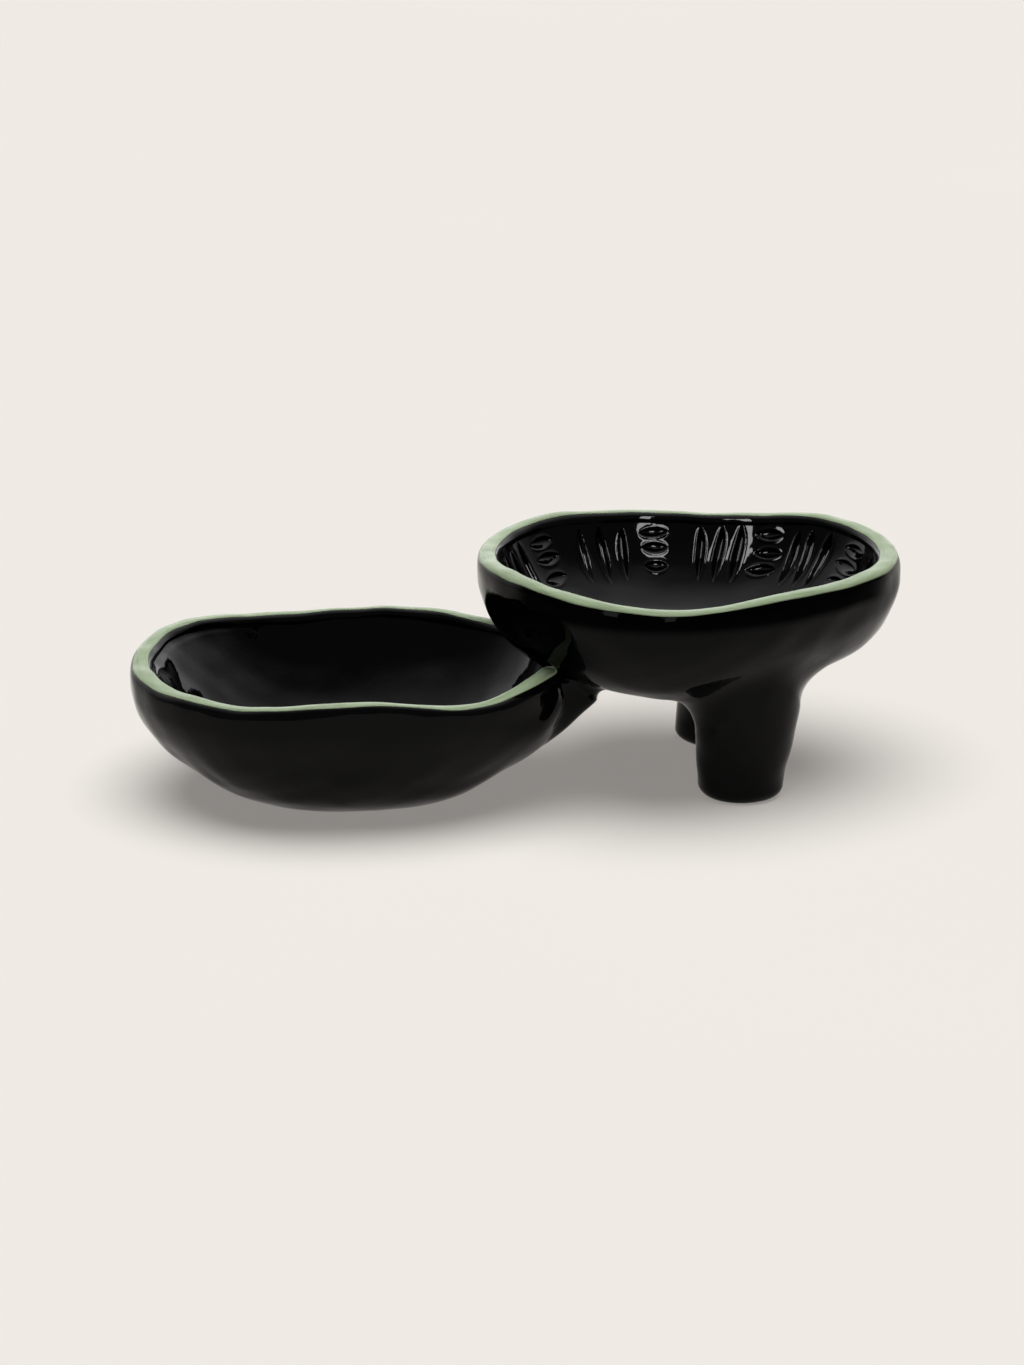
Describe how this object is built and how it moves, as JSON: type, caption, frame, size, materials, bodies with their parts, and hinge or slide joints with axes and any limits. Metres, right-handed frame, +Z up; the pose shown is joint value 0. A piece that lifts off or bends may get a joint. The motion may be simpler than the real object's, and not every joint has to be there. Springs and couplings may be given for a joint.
{
  "type": "tapas dish",
  "caption": "Glossy black ceramic tapas dish: a low bowl joined to a bowl raised on stubby legs, with sage green rims and impressed grooves inside the raised bowl.",
  "frame": {"origin": "middle of the dish's outline, on the table it stands on", "axes": "+X from the low bowl towards the raised bowl, +Y towards the back, +Z up"},
  "size_m": [0.2418, 0.1168, 0.0723],
  "materials": {
    "black_glaze": "glossy",
    "green_glaze": "glossy"
  },
  "bodies": {
    "root": {"lower_bowl": "black_glaze", "upper_bowl": "black_glaze", "bridge": "black_glaze", "front_leg": "black_glaze", "rear_leg": "black_glaze", "front_leg_coil": "black_glaze", "rear_leg_coil": "black_glaze", "lower_rim_glaze": "green_glaze", "upper_rim_glaze": "green_glaze"}
  },
  "joints": []
}
